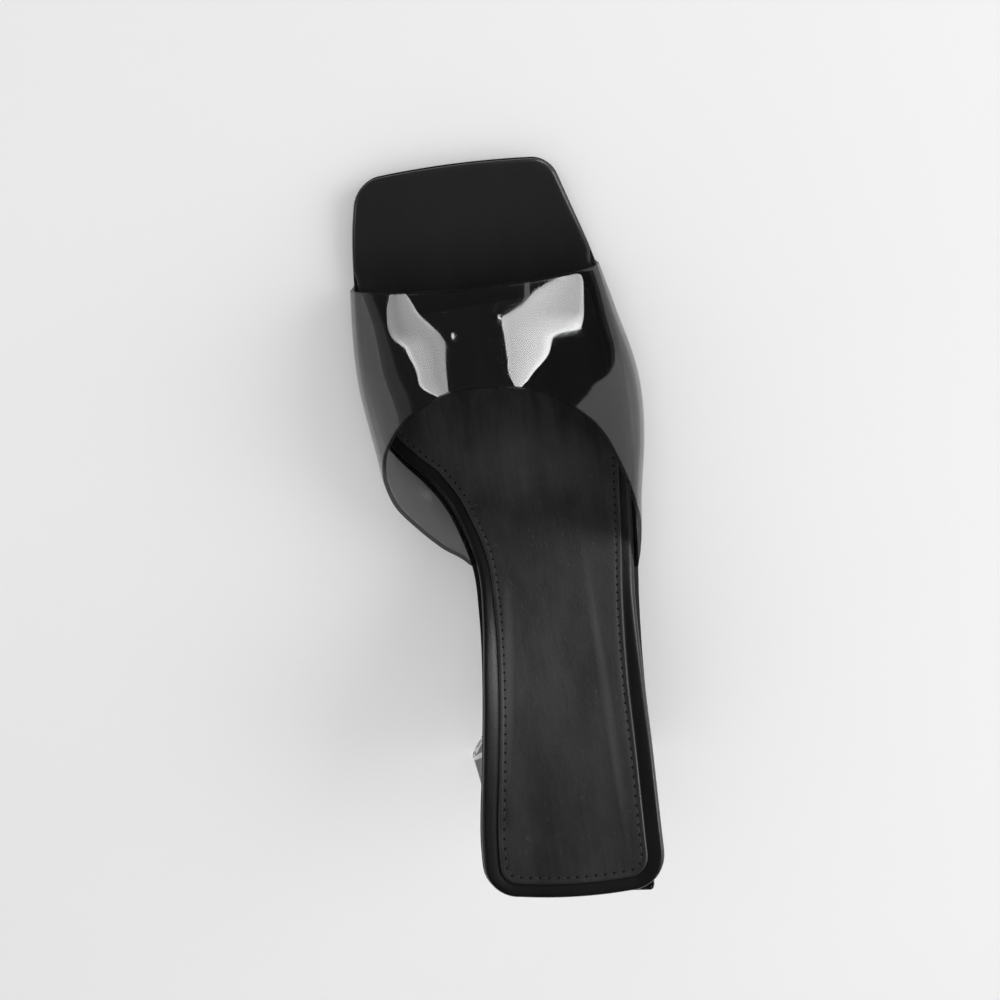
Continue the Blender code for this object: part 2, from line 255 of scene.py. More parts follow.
def layeredSolid(columns, rows, layers, place):  # a grid that is extruded ring by ring
    work = bmesh.new()
    bmesh.ops.create_grid(work, x_segments=columns, y_segments=rows, size=1.0)
    cap = list(work.faces)
    for layer in range(1, layers):
        lifted = bmesh.ops.extrude_face_region(work, geom=cap)["geom"]
        corners = [item for item in lifted if isinstance(item, bmesh.types.BMVert)]
        bmesh.ops.translate(work, verts=corners, vec=(0, 0, 1))
        if layer > 1:
            bmesh.ops.delete(work, geom=cap, context="FACES_KEEP_BOUNDARY")
        cap = [item for item in lifted if isinstance(item, bmesh.types.BMFace)]
    for vert in work.verts:
        share, row = (vert.co.x + 1) / 2, round((vert.co.y + 1) / 2 * rows)
        vert.co = toWorld(place(share, row, round(vert.co.z)))
    faceOut(work)
    return work


def soleLayer(topDepth, inset, rim, front=None, hollow=0.0, spread=0.0, creases=()):
    placers = []
    for depth, lip, proud in rim:  # proud is how far the padding lifts the ring
        end = None if front is None else front - lip
        inner = lip == rim[-1][1]
        out = spread * fadeOut(lip, *sole["spreadFade"])
        dips = (hollow, out, creases) if inner else (0.0, out)
        placers.append(layerPlacer(inset + lip, topDepth + depth, end, proud, *dips))
    return layeredSolid(sole["across"], soleRowCount, len(rim), lambda s, r, k: placers[k](s, r))


def standFor(piece, node):
    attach(piece, "root")
    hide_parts(node)


# Material helpers
def newMaterial(name, **sockets):
    material = bpy.data.materials.new(name)
    material.use_nodes = True
    shader = material.node_tree.nodes["Principled BSDF"]
    for socket, value in sockets.items():
        shader.inputs[socket.replace("_", " ")].default_value = value
    return material, material.node_tree, shader


def addNode(tree, kind, settings=None, **sockets):
    node = tree.nodes.new(kind)
    for name, value in (settings or {}).items():
        setattr(node, name, value)
    for name, value in sockets.items():
        socket = node.inputs[name.replace("_", " ")]
        if isinstance(value, bpy.types.NodeSocket):
            tree.links.new(value, socket)
        else:
            socket.default_value = value
    return node


def placeNode(tree, stretch=(1, 1, 1), turn=0.0):
    spot = addNode(tree, "ShaderNodeTexCoord").outputs["Object"]
    mapping = addNode(tree, "ShaderNodeMapping", Vector=spot, Scale=stretch, Rotation=(0, 0, turn))
    return mapping.outputs["Vector"]


def noiseNode(tree, where, scale, detail=4.0, rough=0.55, distort=0.0):
    node = addNode(tree, "ShaderNodeTexNoise", Vector=where, Scale=scale, Detail=detail,
                   Roughness=rough, Distortion=distort)
    return node.outputs["Fac"]


def rangeNode(tree, value, fromLow, fromHigh, toLow, toHigh):
    node = addNode(tree, "ShaderNodeMapRange", Value=value)
    names = ("From Min", "From Max", "To Min", "To Max")
    for name, number in zip(names, (fromLow, fromHigh, toLow, toHigh)):
        node.inputs[name].default_value = number
    return node.outputs["Result"]


def rampNode(tree, value, stops):
    node = addNode(tree, "ShaderNodeValToRGB", Fac=value)
    while len(node.color_ramp.elements) < len(stops):
        node.color_ramp.elements.new(0.5)
    for element, (place, grey, warm) in zip(node.color_ramp.elements, stops):
        element.position = place
        element.color = (grey * warm, grey, grey / warm, 1)
    return node.outputs["Color"]


def mathNode(tree, operation, first, second):
    node = addNode(tree, "ShaderNodeMath", {"operation": operation})
    for socket, value in zip(node.inputs, (first, second)):
        if isinstance(value, bpy.types.NodeSocket):
            tree.links.new(value, socket)
        else:
            socket.default_value = value
    return node.outputs["Value"]


def mixNode(tree, share, first, second):
    node = addNode(tree, "ShaderNodeMix", {"data_type": "RGBA"})
    sockets = {socket.identifier: socket for socket in node.inputs}
    for name, value in (("Factor_Float", share), ("A_Color", first), ("B_Color", second)):
        if isinstance(value, bpy.types.NodeSocket):
            tree.links.new(value, sockets[name])
        else:
            sockets[name].default_value = value
    return next(socket for socket in node.outputs if socket.identifier == "Result_Color")


def blendToGrey(tree, shader, share, tint):  # blends the base colour towards a grey, for painted light and shade and for pale flecks
    base = shader.inputs["Base Color"].links[0].from_socket
    tree.links.new(mixNode(tree, share, base, (tint, tint, tint, 1)), shader.inputs["Base Color"])


def bumpNode(tree, height, distance, strength=1.0, under=None):
    node = addNode(tree, "ShaderNodeBump", Height=height, Distance=distance, Strength=strength)
    if under is not None:
        tree.links.new(under, node.inputs["Normal"])
    return node.outputs["Normal"]


def leather(name, dark, pale, rough, grain, scuff):
    material, tree, shader = newMaterial(name, IOR=1.5, Coat_Weight=0.03, Coat_Roughness=0.3)
    where = placeNode(tree)
    lines = noiseNode(tree, placeNode(tree, (1, 0.07, 0.07)), 650.0, 4.0, 0.6)  # drawn out lengthwise
    smear = noiseNode(tree, placeNode(tree, (1, 0.35, 0.35)), 130.0, 4.0, 0.6)
    rubbed = mathNode(tree, "MULTIPLY", lines, smear)
    patches = noiseNode(tree, placeNode(tree, (1, 0.4, 0.4)), 75.0, 5.0, 0.6)
    tone = mathNode(tree, "ADD", patches, rubbed)
    colour = rampNode(tree, tone, ((0.6, dark, 1.0), (0.9, pale, 1.01)))
    tree.links.new(colour, shader.inputs["Base Color"])
    wear = 0.03 + 2 * scuff  # scuffed leather varies more in gloss
    gloss = rangeNode(tree, rubbed, 0.12, 0.42, rough + wear, rough - wear)
    tree.links.new(gloss, shader.inputs["Roughness"])
    cells = addNode(tree, "ShaderNodeTexVoronoi", {"feature": "SMOOTH_F1"}, Vector=where, Scale=1500.0)
    pores = bumpNode(tree, cells.outputs["Distance"], grain * mm, 0.7)
    wrinkles = noiseNode(tree, where, 420.0, 6.0, 0.62, 0.2)
    folds = bumpNode(tree, wrinkles, grain * 1.8 * mm, 0.5, pores)
    tree.links.new(bumpNode(tree, lines, scuff * mm, 0.5, folds), shader.inputs["Normal"])
    return material, tree, shader


# Outsole: thin, black, standing a little proud of the footbed
outsole = {
    "depth": 5.2, "thickness": 2.8,
    "rim": (  # depth in shares of the thickness, distance in from the edge
        (1.0, 0.5), (0.93, 0.16), (0.82, 0.0), (0.5, 0.0), (0.18, 0.0), (0.06, 0.12), (0.0, 0.45), (0.0, 2.6),
    ),
    "dark": 0.005, "pale": 0.009, "roughness": 0.5,
}


def outsoleMaterial():
    material, tree, shader = newMaterial("outsoleBlack", IOR=1.4, Specular_IOR_Level=0.2)
    where = placeNode(tree)
    stops = ((0.3, outsole["dark"], 1.0), (0.7, outsole["pale"], 1.0))
    colour = rampNode(tree, noiseNode(tree, where, 70.0), stops)
    tree.links.new(colour, shader.inputs["Base Color"])
    scrape = noiseNode(tree, placeNode(tree, (1, 1, 6)), 240.0, 5.0, 0.65)
    gloss = rangeNode(tree, scrape, 0.3, 0.75, outsole["roughness"] - 0.08, outsole["roughness"] + 0.14)
    tree.links.new(gloss, shader.inputs["Roughness"])
    fine = noiseNode(tree, where, 1300.0, 4.0, 0.6)
    tree.links.new(bumpNode(tree, fine, 0.02 * mm, 0.6), shader.inputs["Normal"])
    return material


def makeOutsole():
    rim = [(depth * outsole["thickness"], lip, 0.0) for depth, lip in outsole["rim"]]
    piece = finishMesh(soleLayer(outsole["depth"], 0.0, rim), "outsoleLayer", [outsoleMaterial()])
    standFor(piece, "outsole")
    print("outsole done")


# Footbed: padded board wrapped in leather, its rim rolled over
footbed = {
    "depth": 1.3, "inset": 1.7, "spread": 1.2,
    "rim": (  # depth, distance in from the edge, lift where the footbed is padded
        (3.6, 0.5, 0.0), (3.4, 0.15, 0.0), (3.1, 0.0, 0.0), (2.4, 0.0, 0.0), (1.6, 0.0, 0.0),
        (1.15, 0.0, 0.05), (0.98, 0.02, 0.18), (0.84, 0.06, 0.29), (0.7, 0.14, 0.4), (0.55, 0.26, 0.53),
        (0.41, 0.42, 0.67), (0.29, 0.6, 0.77), (0.19, 0.8, 0.82), (0.1, 1.05, 0.83), (0.03, 1.4, 0.78),
        (0.0, 1.8, 0.68), (0.0, 2.2, 0.57), (0.0, 2.6, 0.43), (0.0, 3.0, 0.29), (0.01, 3.4, 0.18),
        (0.02, 3.8, 0.12), (0.03, 4.4, 0.1),
    ),
    "dark": 0.002, "pale": 0.005, "roughness": 0.34, "grain": 0.03, "scuff": 0.004,
    "toeLitGrey": 0.014, "toeShare": 0.85, "toeReach": (70.0, 98.0),  # the toe end is painted paler, so the footbed darkens towards the band as painted shade
}


def makeFootbed():
    skin, tree, shader = leather("footbedLeather", footbed["dark"], footbed["pale"], footbed["roughness"],
                                 footbed["grain"], footbed["scuff"])
    # painted light and shade: paler towards the toe end, darker towards the band
    ahead = addNode(tree, "ShaderNodeSeparateXYZ", Vector=placeNode(tree)).outputs["Y"]
    start, end = footbed["toeReach"]
    share = rangeNode(tree, ahead, start * mm, end * mm, 0.0, footbed["toeShare"])
    blendToGrey(tree, shader, share, footbed["toeLitGrey"])
    work = soleLayer(footbed["depth"], footbed["inset"], footbed["rim"], spread=footbed["spread"])
    piece = finishMesh(work, "footbedPad", [skin])
    standFor(piece, "footbed")
    print("footbed done")


# Sock: the stitched panel on the footbed, with a groove where the thread lies
sock = {
    "depth": 0.3, "inset": 5.8, "front": 181.0,
    "rim": (  # as the footbed's
        (0.95, 0.0, 0.0), (0.42, 0.0, 0.0), (0.25, 0.07, 0.0), (0.12, 0.18, 0.02), (0.04, 0.34, 0.05),
        (0.0, 0.5, 0.08), (0.0, 0.7, 0.09), (0.0, 0.95, 0.07), (0.0, 1.2, 0.03), (0.015, 1.5, 0.0),
        (0.04, 1.72, 0.0), (0.055, 1.9, 0.0), (0.04, 2.08, 0.0), (0.015, 2.3, 0.0), (0.0, 2.65, 0.0),
        (0.0, 3.7, 0.0),
    ),
    "hollow": 0.5,  # how far the panel dips between its two sides
    "creases": (  # where the ball of the foot has bent the panel
        {"station": 128.0, "share": 0.46, "along": 4.6, "across": 0.3, "skew": 7.0, "depth": 0.18},
        {"station": 121.0, "share": 0.56, "along": 4.0, "across": 0.26, "skew": -5.0, "depth": 0.16},
        {"station": 114.5, "share": 0.42, "along": 4.2, "across": 0.28, "skew": 6.0, "depth": 0.13},
    ),
    "dark": 0.007, "pale": 0.021, "roughness": 0.43, "grain": 0.03, "scuff": 0.03,
    # painted highlights and painted shade on the panel: middle, half sizes, turn in degrees, tint and
    # strength
    "paintedLightNames": ("middle", "half", "turn", "tint", "most"),
    "paintedLight": (
        ((25.5, -50.0), (7.0, 56.0), -3.0, 0.005, 0.9),  # painted shade along the outer edge
        ((18.6, -55.0), (2.0, 50.0), -1.9, 0.042, 1.0),  # painted sheen streak
        ((-12.7, -50.0), (2.6, 30.0), -9.8, 0.06, 1.0),  # painted highlight beside the inner stitches
        ((4.0, 12.0), (28.0, 16.0), 0.0, 0.045, 0.65),  # painted highlight at the ball
        ((8.0, -9.0), (26.0, 13.0), 0.0, 0.007, 0.8),  # painted shade in the arch
    ),
    "fleck": 0.06, "edgeTurn": (0.3, 0.2),  # how far a face turns outwards or back to be a cut edge
    "seam": 1.9, "pitch": 2.87, "stitchDepth": 0.4,
    "threadHalf": (1.148, 0.2, 0.16), "holeHalf": (0.48, 0.432, 0.09), "holeLift": 0.05,
}


def cutEdgeMaterial():
    material, tree, shader = newMaterial("sockCutEdge", IOR=1.5, Coat_Weight=0.15, Coat_Roughness=0.25)
    where = placeNode(tree)
    fibres = noiseNode(tree, where, 1600.0, 5.0, 0.7)
    colour = rampNode(tree, fibres, ((0.3, 0.012, 1.0), (0.75, 0.035, 1.03)))
    tree.links.new(colour, shader.inputs["Base Color"])
    tree.links.new(rangeNode(tree, fibres, 0.3, 0.7, 0.38, 0.55), shader.inputs["Roughness"])
    tree.links.new(bumpNode(tree, fibres, 0.03 * mm, 0.6), shader.inputs["Normal"])
    return material


def threadMaterial():
    material, tree, shader = newMaterial("blackThread", IOR=1.5)
    where = placeNode(tree, (1, 1, 0.4))
    twist = addNode(tree, "ShaderNodeTexWave", Vector=where, Scale=900.0, Distortion=1.5)
    colour = rampNode(tree, twist.outputs["Fac"], ((0.2, 0.006, 1.0), (0.8, 0.02, 1.0)))
    tree.links.new(colour, shader.inputs["Base Color"])
    tree.links.new(rangeNode(tree, twist.outputs["Fac"], 0.0, 1.0, 0.55, 0.4), shader.inputs["Roughness"])
    tree.links.new(bumpNode(tree, twist.outputs["Fac"], 0.04 * mm, 0.7), shader.inputs["Normal"])
    return material


# near-black matt discs stand for the needle holes: the black thread in them and their shade are painted in
def holeShadeMaterial():
    material, tree, shader = newMaterial("needleHoleShade", IOR=1.3)
    dust = noiseNode(tree, placeNode(tree), 2500.0, 3.0)
    colour = rampNode(tree, dust, ((0.3, 0.002, 1.0), (0.8, 0.005, 1.0)))
    tree.links.new(colour, shader.inputs["Base Color"])
    tree.links.new(rangeNode(tree, dust, 0.2, 0.8, 0.75, 0.95), shader.inputs["Roughness"])
    return material


def seamPath():  # down the inner side, across the back and up the outer side
    lip = sock["inset"] + sock["seam"]
    place = layerPlacer(lip, sock["stitchDepth"], sock["front"] - sock["seam"])
    path = [place(0.0, row) for row in range(soleRowCount, -1, -1)]
    path += [place(k / 30, 0) for k in range(1, 30)]
    path += [place(1.0, row) for row in range(soleRowCount + 1)]
    return [toWorld(point) for point in path]


def evenSteps(path, step):  # places and directions a fixed step apart
    steps, left = [], step / 2
    for a, b in zip(path, path[1:]):
        span = (b - a).length
        while left <= span:
            steps.append((a + (b - a) * (left / span), (b - a).normalized()))
            left += step
        left -= span
    return steps


def stitchFrame(spot, along):
    slope = treadSlope(spot.y / mm - shiftY)
    up = Vector((0, -slope, 1)).normalized()
    side = up.cross(along).normalized()
    up = along.cross(side)
    turned = Matrix((along, side, up)).transposed().to_4x4()
    return Matrix.Translation(spot) @ turned


def ballOf(halfSizes):
    return Matrix.Diagonal([half * mm for half in halfSizes] + [1])


def makeStitches():
    steps = evenSteps(seamPath(), sock["pitch"] * mm)
    threads, holes = bmesh.new(), bmesh.new()
    for (spot, _), (after, _) in zip(steps, steps[1:]):
        middle = stitchFrame((spot + after) / 2, (after - spot).normalized()) @ ballOf(sock["threadHalf"])
        bmesh.ops.create_uvsphere(threads, u_segments=8, v_segments=6, radius=1.0, matrix=middle)
    lift = Matrix.Translation((0, 0, sock["holeLift"] * mm))
    for spot, along in steps:
        raised = stitchFrame(spot, along) @ lift @ ballOf(sock["holeHalf"])
        bmesh.ops.create_uvsphere(holes, u_segments=8, v_segments=5, radius=1.0, matrix=raised)
    parts = ((threads, "sockThread", threadMaterial()), (holes, "sockHoles", holeShadeMaterial()))
    for work, name, material in parts:
        piece = finishMesh(work, name, [material])
        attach(piece, "root")
    print("stitches done:", len(steps))


def softSpot(tree, zone):  # 1 in the middle of an ellipse seen from above, 0 at its rim
    middle = (zone["middle"][0] * mm, zone["middle"][1] * mm, 0)
    half = (zone["half"][0] * mm, zone["half"][1] * mm, 1000)  # so deep that height plays no part
    spot = addNode(tree, "ShaderNodeTexCoord").outputs["Object"]
    mapping = addNode(tree, "ShaderNodeMapping", {"vector_type": "TEXTURE"}, Vector=spot, Location=middle,
                      Rotation=(0, 0, radians(zone["turn"])), Scale=half)
    blob = addNode(tree, "ShaderNodeTexGradient", {"gradient_type": "SPHERICAL"},
                   Vector=mapping.outputs["Vector"])
    return rangeNode(tree, blob.outputs["Fac"], 0.0, 0.8, 0.0, zone["most"])


def sockMaterial():
    material, tree, shader = leather("sockLeather", sock["dark"], sock["pale"], sock["roughness"],
                                     sock["grain"], sock["scuff"])
    drawn = noiseNode(tree, placeNode(tree, (1, 0.05, 0.05)), 700.0, 5.0, 0.7)
    lines = rangeNode(tree, drawn, 0.3, 0.7, 0.5, 1.0)
    # blend in the panel's painted highlights and painted shade, streaked lengthwise
    for row in sock["paintedLight"]:
        zone = dict(zip(sock["paintedLightNames"], row))
        blendToGrey(tree, shader, mathNode(tree, "MULTIPLY", softSpot(tree, zone), lines), zone["tint"])
    specks = noiseNode(tree, placeNode(tree, (1, 0.25, 0.25)), 1500.0, 2.0, 0.5)
    blendToGrey(tree, shader, rangeNode(tree, specks, 0.66, 0.78, 0.0, 0.5), sock["fleck"])
    return material


def makeSock():
    skin = sockMaterial()
    work = soleLayer(sock["depth"], sock["inset"], sock["rim"], sock["front"], sock["hollow"],
                     creases=sock["creases"])
    piece = finishMesh(work, "sockPanel", [skin, cutEdgeMaterial()])
    outwards, backwards = sock["edgeTurn"]
    for face in piece.data.polygons:  # the burnished edge takes in the turn of the rim
        face.material_index = 1 if abs(face.normal.x) > outwards or face.normal.y < -backwards else 0
    standFor(piece, "sock")
    makeStitches()
    print("sock done")


# Upper: one band of smoke-tinted vinyl over the forefoot
band = {
    "wall": 1.4, "foot": 4.9, "columns": 220, "rows": 64, "edgeRadius": 0.28,
    "sectionNames": ("station", "medial", "medialRise", "lateral", "lateralRise", "crown", "crownShift"),
    "sections": (
        (84, -17.2, 3, 40.2, 3, 44.0, 5.0),
        (94, -17.8, 3, 42.3, 4, 48.0, 4.0),
        (102, -26.0, 7, 43.9, 6, 51.0, 2.0),
        (110, -33.2, 11, 45.3, 8, 53.0, 0.0),
        (118, -39.0, 13.5, 47.1, 10, 54.0, -2.0),
        (127, -42.4, 13, 49.1, 11, 54.0, -4.0),
        (137, -43.8, 11, 50.5, 11, 53.5, -5.0),
        (147, -44.8, 10, 50.6, 11, 52.0, -6.0),
        (157, -45.4, 10, 49.5, 11, 49.5, -7.0),
        (170, -45.2, 10, 46.7, 11, 44.0, -8.0),
        (182, -44.1, 9, 44.1, 10, 37.9, -8.5),
        (195, -42.3, 8, 41.1, 9, 31.0, -9.0),
    ),
    "roundness": 2.15, "tuck": 1.7, "widest": 90.0, "footAngle": 112.5, "girth": 0.75,
    "front": ((-112.5, 194.5), (-57, 192.0), (-20, 189.4), (28, 186.6), (53, 187.0), (112.5, 190.2)),
    "throat": (
        (-112.5, 95.0), (-96, 95.8), (-88, 100.4), (-85.5, 106.4), (-83.5, 112.4), (-81, 118.6), (-77, 125.2),
        (-68, 133.0), (-46.5, 144.3), (-26, 152.5), (0, 157.2), (21, 152.8), (37, 141.5), (55, 120.3),
        (68.5, 108.2), (82, 98.5), (90, 92.5), (112.5, 89.0),
    ),
    # soft troughs and ridges: angle round the last, station, half sizes round and along, height
    "reliefNames": ("angle", "station", "round", "along", "height"),
    "relief": (
        (-84, 112, 12, 12, -0.3),
        (86, 150, 16, 22, 0.25),
        (-88, 160, 14, 20, 0.25),
    ),
    "tint": 0.012, "cover": 0.54, "edgeCover": 0.8, "roughness": 0.05,
}


def bandValue(name, station):
    return throughRows(band["sections"], band["sectionNames"], name, station)


def lastPoint(angle, station):
    side = "medial" if angle < 0 else "lateral"
    foot = solePoint(station, soleEdge(side, station, 0.0, sole["back"], sole["tip"]), band["foot"])
    widest = bandValue(side, station)
    rise = bandValue(side + "Rise", station)
    if abs(angle) > band["widest"]:
        up = max(0.0, (band["footAngle"] - abs(angle)) / (band["footAngle"] - band["widest"]))
        tuck = (1 - up) ** band["tuck"]
        x = widest + (foot[0] - widest) * tuck
        return Vector((x, station + (foot[1] - station) * tuck, foot[2] + rise * up))
    crownX, crownZ = bandValue("crownShift", station), bandValue("crown", station)
    power = 2 / band["roundness"]
    x = crownX + (widest - crownX) * sin(radians(abs(angle))) ** power
    z = foot[2] + rise + (crownZ - foot[2] - rise) * max(0.0, cos(radians(angle))) ** power
    return Vector((x, station, z))


def edgePlace(edge, share):
    lengths = [0.0]
    for (angleA, stationA), (angleB, stationB) in zip(edge, edge[1:]):
        lengths.append(lengths[-1] + hypot((angleB - angleA) * band["girth"], stationB - stationA))
    along = share * lengths[-1]
    angle = smoothCurve(lengths, [row[0] for row in edge], along)
    return angle, smoothCurve(lengths, [row[1] for row in edge], along)


edgeMemory = {}


def bandPlace(across, along):
    if across not in edgeMemory:
        edgeMemory[across] = edgePlace(band["throat"], across) + edgePlace(band["front"], across)
    throatAngle, throatStation, frontAngle, frontStation = edgeMemory[across]
    angle = throatAngle + (frontAngle - throatAngle) * along
    return angle, throatStation + (frontStation - throatStation) * along


def bandRelief(angle, station):
    height = 0.0
    for row in band["relief"]:
        size = dict(zip(band["reliefNames"], row))
        aside = (angle - size["angle"]) / size["round"]
        ahead = (station - size["station"]) / size["along"]
        far = aside ** 2 + ahead ** 2
        if far < 1:
            height += size["height"] * (1 - far) ** 3
    return height


def bandPoint(across, along):
    angle, station = bandPlace(across, along)
    point = lastPoint(angle, station)
    height = bandRelief(angle, station)
    if height:
        middle = Vector((bandValue("crownShift", station), station, treadHeight(station)))
        point += (point - middle).normalized() * height
    return point


def bandNormal(across, along):
    reach = 0.004
    left, right = max(0.0, across - reach), min(1.0, across + reach)
    back, ahead = max(0.0, along - reach), min(1.0, along + reach)
    over = bandPoint(right, along) - bandPoint(left, along)
    forward = bandPoint(across, ahead) - bandPoint(across, back)
    return over.cross(forward).normalized()


def vinylMaterial():
    tint = band["tint"]
    material, tree, shader = newMaterial("smokeVinyl", Base_Color=(tint, tint, tint * 1.05, 1), IOR=1.62,
                                         Alpha=band["cover"])
    where = placeNode(tree)
    smear = noiseNode(tree, where, 60.0, 5.0, 0.6, 0.5)
    low, high = band["roughness"] - 0.02, band["roughness"] + 0.05
    tree.links.new(rangeNode(tree, smear, 0.35, 0.75, low, high), shader.inputs["Roughness"])
    wave = noiseNode(tree, where, 70.0, 1.0, 0.3)
    tree.links.new(bumpNode(tree, wave, 0.004 * mm, 0.5), shader.inputs["Normal"])
    return material


def vinylEdgeMaterial():
    material, tree, shader = newMaterial("smokeVinylEdge", IOR=1.5, Alpha=band["edgeCover"],
                                         Specular_IOR_Level=0.1)
    cut = noiseNode(tree, placeNode(tree), 900.0, 4.0, 0.6)
    colour = rampNode(tree, cut, ((0.3, 0.006, 1.0), (0.75, 0.016, 1.0)))
    tree.links.new(colour, shader.inputs["Base Color"])
    tree.links.new(rangeNode(tree, cut, 0.3, 0.7, 0.2, 0.38), shader.inputs["Roughness"])
    tree.links.new(bumpNode(tree, cut, 0.02 * mm, 0.5), shader.inputs["Normal"])
    return material


def makeBand():
    columns, rows = band["columns"], band["rows"]
    work = bmesh.new()
    bmesh.ops.create_grid(work, x_segments=columns, y_segments=rows, size=1.0)
    for vert in work.verts:
        across = round((vert.co.x + 1) / 2 * columns) / columns
        vert.co = toWorld(bandPoint(across, (vert.co.y + 1) / 2))
    work.normal_update()
    top = max(work.faces, key=lambda face: face.calc_center_median().z)
    if top.normal.z < 0:
        bmesh.ops.reverse_faces(work, faces=work.faces)
    piece = finishMesh(work, "upperBand", [vinylMaterial(), vinylEdgeMaterial()], 180)
    wall = piece.modifiers.new("wall", "SOLIDIFY")
    wall.thickness = band["wall"] * mm
    wall.offset = -1
    wall.use_even_offset = True
    wall.material_offset_rim = 1
    soft = piece.modifiers.new("softEdge", "BEVEL")
    soft.width = band["edgeRadius"] * mm
    soft.segments = 2
    soft.material = 1
    soft.limit_method = "ANGLE"
    soft.angle_limit = radians(50)
    standFor(piece, "upper")
    print("band done")
    return piece


# Heel: flared block of smoke-tinted clear plastic, and the paler lift under it
heel = {
    "origin": (2.4, 0.3), "turn": radians(-8.0),
    "names": ("backHalf", "backPlace", "frontHalf", "frontPlace"),
    "top": (24.2, -2.5, 23.0, 44.0), "foot": (35.8, 3.1, 17.5, 38.0),
    "flare": 1.3, "edgeRadius": 1.5, "lift": 5.2, "gap": 0.3, "depth": 8.3,
    "cells": (16, 12, 18),
    "density": 30.0, "liftDensity": 14.0,
}


def heelPlan(share, row, height):
    size = {}
    for name, foot, top in zip(heel["names"], heel["foot"], heel["top"]):
        curve = height if name.endswith("Place") else 1 - (1 - height) ** heel["flare"]
        size[name] = foot + (top - foot) * curve
    half = size["backHalf"] + (size["frontHalf"] - size["backHalf"]) * row
    ahead = size["backPlace"] + (size["frontPlace"] - size["backPlace"]) * row
    across = half * (2 * share - 1)
    x = heel["origin"][0] + across * cos(heel["turn"]) - ahead * sin(heel["turn"])
    y = heel["origin"][1] + across * sin(heel["turn"]) + ahead * cos(heel["turn"])
    return x, y


def undersideHeight(x, y):
    station = y
    for _ in range(6):
        station = y - x * tan(radians(soleValue("turn", station)))
    return treadHeight(station) - heel["depth"] * hypot(1, treadSlope(station))


def heelPoint(share, row, height):
    x, y = heelPlan(share, row, height)
    foot = heel["lift"] + heel["gap"]
    return (x, y, foot + (undersideHeight(x, y) - foot) * height)


def perspex(name, tint, density):
    material, tree, shader = newMaterial(name, Base_Color=(tint, tint, tint, 1), IOR=1.49,
                                         Transmission_Weight=1.0)
    wear = noiseNode(tree, placeNode(tree), 120.0, 5.0, 0.65)
    tree.links.new(rangeNode(tree, wear, 0.35, 0.8, 0.03, 0.14), shader.inputs["Roughness"])
    ripple = noiseNode(tree, placeNode(tree), 35.0, 2.0, 0.4)
    tree.links.new(bumpNode(tree, ripple, 0.06 * mm, 0.4), shader.inputs["Normal"])
    inside = addNode(tree, "ShaderNodeVolumeAbsorption", Color=(0.3, 0.3, 0.31, 1), Density=density)
    tree.links.new(inside.outputs["Volume"], tree.nodes["Material Output"].inputs["Volume"])
    return material


def finishPlastic(piece, radius, node):
    piece.visible_shadow = False  # clear plastic lets the light through to the floor
    bevel = piece.modifiers.new("edges", "BEVEL")
    bevel.width = radius * mm
    bevel.segments = 4
    bevel.limit_method = "ANGLE"
    bevel.angle_limit = radians(40)
    standFor(piece, node)


def makeHeel():
    across, ahead, up = heel["cells"]
    block = layeredSolid(across, ahead, up + 1, lambda s, r, k: heelPoint(s, r / ahead, k / up))
    piece = finishMesh(block, "heelBlock", [perspex("smokePerspex", 0.75, heel["density"])])
    finishPlastic(piece, heel["edgeRadius"], "heel")
    slab = layeredSolid(across, ahead, 2, lambda s, r, k: (*heelPlan(s, r / ahead, 0.0), heel["lift"] * k))
    piece = finishMesh(slab, "heelLift", [perspex("paleSmokePerspex", 0.9, heel["liftDensity"])])
    finishPlastic(piece, heel["edgeRadius"] / 2, "top_piece")
    print("heel done")


# Studio: pale floor, soft lights, and cards that show only as reflections in the glossy band
studio = {
    "eye": (8.13, 185.49, 329.0), "right": (0.9864, -0.1645, 0.0), "up": (0.1602, 0.9603, -0.2284),
    "lens": 32.4,
    "floorHalf": 3.0, "floorDrop": 0.1, "floorGrey": 0.8,  # half size in metres, drop in millimetres
    "sky": 0.68, "glossSky": 0.05,  # the room looks darker in reflections than it lights
    "lights": {
        "keyLight": {"spot": (1.3, -0.05, 0.8), "size": 1.4, "power": 13.5, "matt": True, "gloss": True},
        "fillLight": {"spot": (-0.2, 0.3, 1.5), "size": 1.2, "power": 3.8, "matt": True, "gloss": False},
        "sheenLight": {"spot": (0.75, 1.1, 0.66), "size": 0.5, "power": 9.0, "matt": False, "gloss": True},
        "rimLight": {"spot": (1.25, 0.25, 0.85), "size": 0.45, "power": 4.5, "matt": False, "gloss": True},
        "leftLight": {"spot": (-1.2, 0.25, 0.9), "size": 0.5, "power": 2.0, "matt": False, "gloss": True},
    },
}
